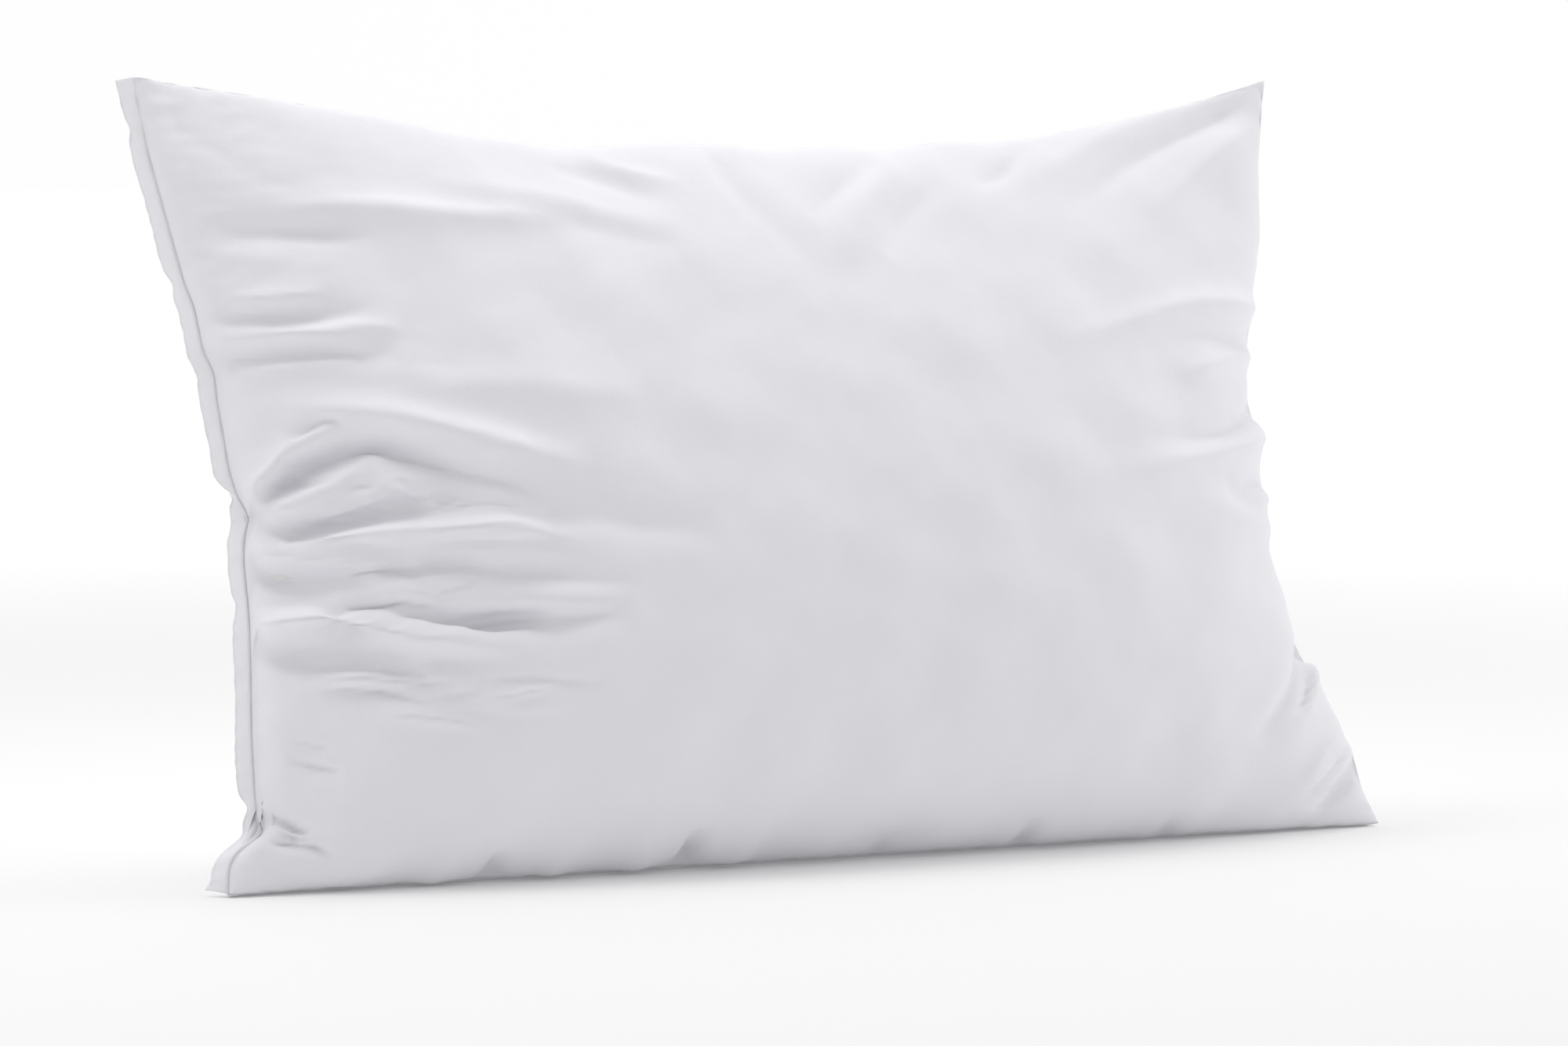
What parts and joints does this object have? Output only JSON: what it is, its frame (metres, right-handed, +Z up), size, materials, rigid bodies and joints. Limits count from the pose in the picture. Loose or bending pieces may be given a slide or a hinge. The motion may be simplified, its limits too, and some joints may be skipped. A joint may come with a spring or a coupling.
{
  "type": "bed pillow",
  "caption": "Rectangular stuffed bed pillow with pointed corners and dipped edges, standing on its long edge and leaning back on its flattened foot.",
  "frame": {"origin": "centre of the pillow's footprint box, on the floor under its flattened long edge", "axes": "+X along the pillow towards the overlocked end, +Y from the front panel to the back panel, +Z up from the floor"},
  "size_m": [0.724, 0.197, 0.4278],
  "materials": {
    "ticking": "matt white cotton percale with a faint sheen",
    "filling": "white hollow polyester fibre",
    "thread": "white spun polyester sewing thread"
  },
  "bodies": {
    "root": {"front_panel": "ticking", "back_panel": "ticking", "fibre_fill": "filling", "overlock_needle_thread": "thread", "overlock_upper_looper": "thread", "overlock_lower_looper": "thread", "closing_needle_thread": "thread", "closing_bobbin_thread": "thread"}
  },
  "joints": []
}
